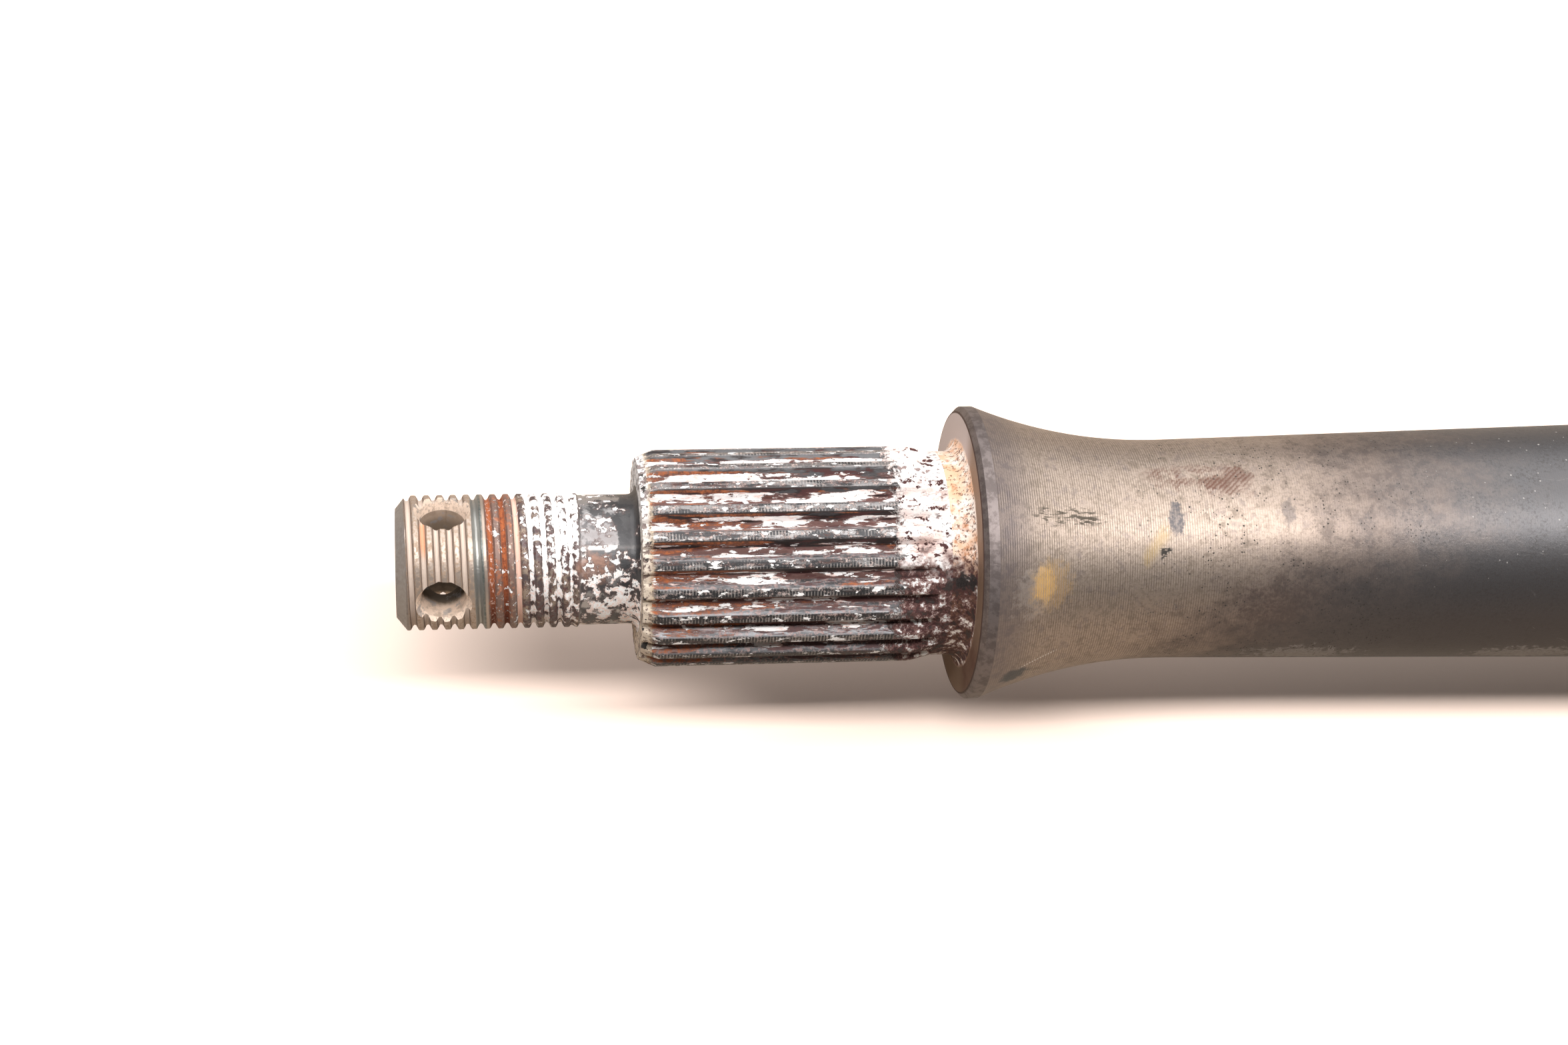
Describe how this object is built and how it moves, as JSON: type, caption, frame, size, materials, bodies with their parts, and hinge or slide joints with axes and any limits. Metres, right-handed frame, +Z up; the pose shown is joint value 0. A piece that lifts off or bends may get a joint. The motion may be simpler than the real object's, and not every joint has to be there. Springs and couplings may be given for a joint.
{
  "type": "rear axle",
  "caption": "One-piece solid rear axle, turned and splined from one bar, with threaded and cross-drilled ends, splined hub seats, thrust flanges, tapered shanks and a stepped middle.",
  "frame": {"origin": "centre of the axle, on its axis, midway between the bearing seats", "axes": "+X along the axle's axis, towards the brake and lock-nut side, +Z up"},
  "size_m": [0.9, 0.0518, 0.052],
  "materials": {
    "steel": "turned steel with rust, white crust and stains on the hub ends"
  },
  "bodies": {
    "root": {"axle": "steel"}
  },
  "joints": []
}
